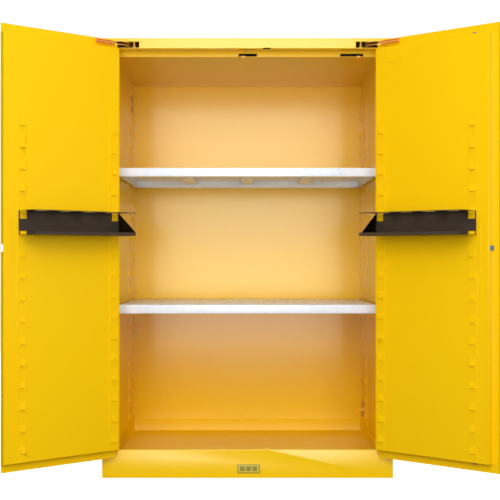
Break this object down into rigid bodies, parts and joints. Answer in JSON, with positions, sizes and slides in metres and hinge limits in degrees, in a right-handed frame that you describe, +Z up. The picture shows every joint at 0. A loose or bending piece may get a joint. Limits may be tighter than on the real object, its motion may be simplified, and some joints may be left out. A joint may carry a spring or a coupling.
{
  "type": "flammable storage cabinet",
  "caption": "Double-wall yellow steel safety cabinet with two hinged doors, adjustable shelves, door can trays, a spill sump, flame-arrester vents and a three-point latch.",
  "frame": {"origin": "centre of the base's footprint on the floor", "axes": "+Z up, front faces -Y, +X to the right as seen from the front; doors drawn open"},
  "size_m": [1.7323, 1.2697, 1.651],
  "materials": {
    "yellow_enamel": "gloss safety yellow enamel",
    "gold_zinc": "yellow-passivated zinc plate",
    "black_paint": "satin black powder coat",
    "galvanised": "galvanised sheet",
    "zinc": "zinc plate",
    "chrome": "bright plate",
    "black_plastic": "matte black moulding",
    "brass": "cast brass",
    "plate_paint": "blank printed plate",
    "bare_steel": "cold-rolled sheet"
  },
  "bodies": {
    "cabinet": {"arm_posts": "gold_zinc", "back_skin": "yellow_enamel", "bottom_skin": "yellow_enamel", "closing_springs": "zinc", "flame_arresters": "brass", "frame_channels": "bare_steel", "frame_screws": "zinc", "front_sill": "yellow_enamel", "fusible_link": "zinc", "ground_stud": "brass", "header_fascia": "yellow_enamel", "hinge_leaf_frame_left": "yellow_enamel", "hinge_leaf_frame_right": "yellow_enamel", "hinge_pins": "zinc", "label_plate": "plate_paint", "levelling_feet": "zinc", "liner_back": "yellow_enamel", "liner_left": "yellow_enamel", "liner_right": "yellow_enamel", "liner_top": "yellow_enamel", "shelf_brackets": "zinc", "shelf_lower": "galvanised", "shelf_upper": "galvanised", "side_skin_left": "yellow_enamel", "side_skin_right": "yellow_enamel", "standards_left": "yellow_enamel", "standards_right": "yellow_enamel", "stile_left": "yellow_enamel", "stile_right": "yellow_enamel", "sump_pan": "yellow_enamel", "top_skin": "yellow_enamel", "vent_bodies": "brass", "vent_caps": "brass"},
    "left_door": {"door_skin_left": "yellow_enamel", "door_liner_left": "yellow_enamel", "door_stiffener_left": "bare_steel", "hinge_leaf_door_left": "yellow_enamel", "tray_rails_left": "yellow_enamel", "tray_left": "black_paint", "tray_grid_left": "black_paint", "swing_arm_left": "gold_zinc"},
    "right_door": {"door_skin_right": "yellow_enamel", "door_liner_right": "yellow_enamel", "door_stiffener_right": "bare_steel", "hinge_leaf_door_right": "yellow_enamel", "tray_rails_right": "yellow_enamel", "tray_right": "black_paint", "tray_grid_right": "black_paint", "swing_arm_right": "gold_zinc", "lock_cover": "yellow_enamel", "rod_cover": "yellow_enamel", "handle_bezel": "black_plastic", "cover_screws": "yellow_enamel"},
    "paddle": {"paddle": "chrome"},
    "key_plug": {"key_plug": "chrome"},
    "latch_bolt": {"latch_bolt": "chrome"},
    "upper_rod": {"latch_rod_upper": "chrome"},
    "lower_rod": {"latch_rod_lower": "chrome"},
    "coordinator": {"coordinator_bar": "gold_zinc"}
  },
  "joints": [
    {"name": "left_door_hinge", "type": "hinge", "parent": "cabinet", "child": "left_door", "pos_m": [-0.4915, -0.4384, 0.86], "axis": [0, 0, 1], "range_deg": [0, 138]},
    {"name": "right_door_hinge", "type": "hinge", "parent": "cabinet", "child": "right_door", "pos_m": [0.4915, -0.4384, 0.86], "axis": [0, 0, -1], "range_deg": [0, 138]},
    {"name": "paddle_pull", "type": "hinge", "parent": "right_door", "child": "paddle", "pos_m": [0.8122, -0.7129, 0.9], "axis": [0.7431, -0.6691, 0], "range_deg": [0, 25], "stiffness_Nm_per_rad": 0.4},
    {"name": "key_turn", "type": "hinge", "parent": "right_door", "child": "key_plug", "pos_m": [0.81421, -0.71067, 0.812], "axis": [0.6691, 0.7431, 0], "range_deg": [0, 90]},
    {"name": "bolt_slide", "type": "slide", "parent": "right_door", "child": "latch_bolt", "axis": [-0.7431, 0.6691, 0], "range_m": [0, 0.012]},
    {"name": "upper_rod_slide", "type": "slide", "parent": "right_door", "child": "upper_rod", "axis": [0, 0, -1], "range_m": [0, 0.012]},
    {"name": "lower_rod_slide", "type": "slide", "parent": "right_door", "child": "lower_rod", "axis": [0, 0, 1], "range_m": [0, 0.012]},
    {"name": "coordinator_slide", "type": "slide", "parent": "cabinet", "child": "coordinator", "axis": [-1, 0, 0], "range_m": [0, 0.012], "stiffness_N_per_m": 200}
  ],
  "couplings": [
    {"joint": "bolt_slide", "follows": "paddle_pull", "m_per_rad": 0.02749},
    {"joint": "upper_rod_slide", "follows": "paddle_pull", "m_per_rad": 0.02749},
    {"joint": "lower_rod_slide", "follows": "paddle_pull", "m_per_rad": 0.02749}
  ]
}
